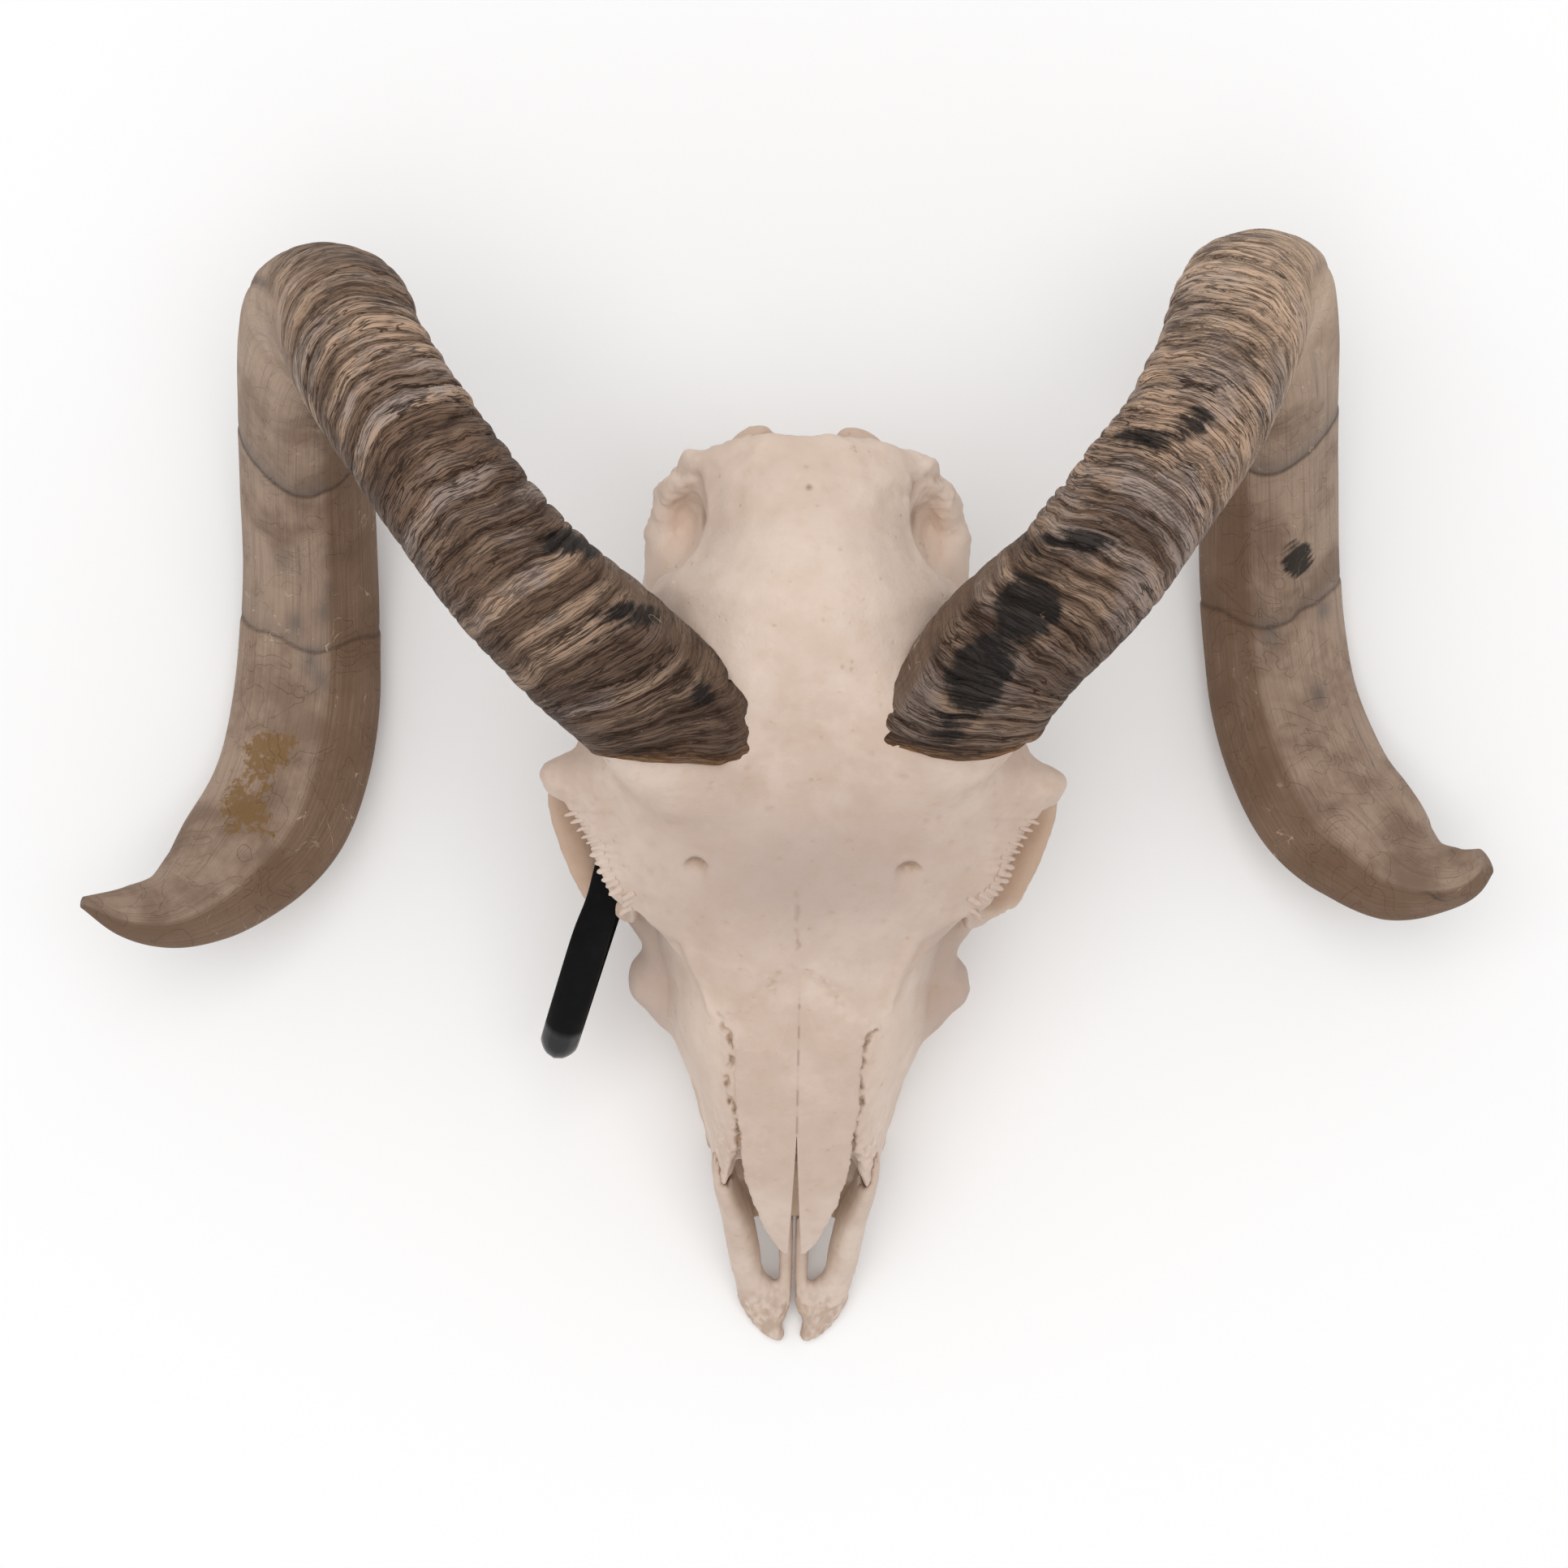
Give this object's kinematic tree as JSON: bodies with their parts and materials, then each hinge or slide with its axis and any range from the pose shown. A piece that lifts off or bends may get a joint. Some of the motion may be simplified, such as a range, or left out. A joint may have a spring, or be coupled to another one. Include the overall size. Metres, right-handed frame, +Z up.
{
  "type": "ram skull",
  "caption": "Cleaned ram skull lying on its front jaw bones and on both curled, ridged horns, with a blank black strap looped through the right eye socket.",
  "frame": {"origin": "on the surface that the skull lies on, below the middle of its bounding box", "axes": "+X to the animal's left, -Y to its nose, +Z up"},
  "size_m": [0.387, 0.311, 0.1829],
  "materials": {
    "bone": "dry cleaned bone, matt",
    "horn": "dry weathered horn, matt",
    "black_plastic": "satin"
  },
  "bodies": {
    "root": {"cranium": "bone", "face_left": "bone", "face_right": "bone", "cheek_left": "bone", "cheek_right": "bone", "nasal_left": "bone", "nasal_right": "bone", "premaxilla_left": "bone", "premaxilla_right": "bone", "horn_left": "horn", "horn_right": "horn", "strap": "black_plastic"}
  },
  "joints": []
}
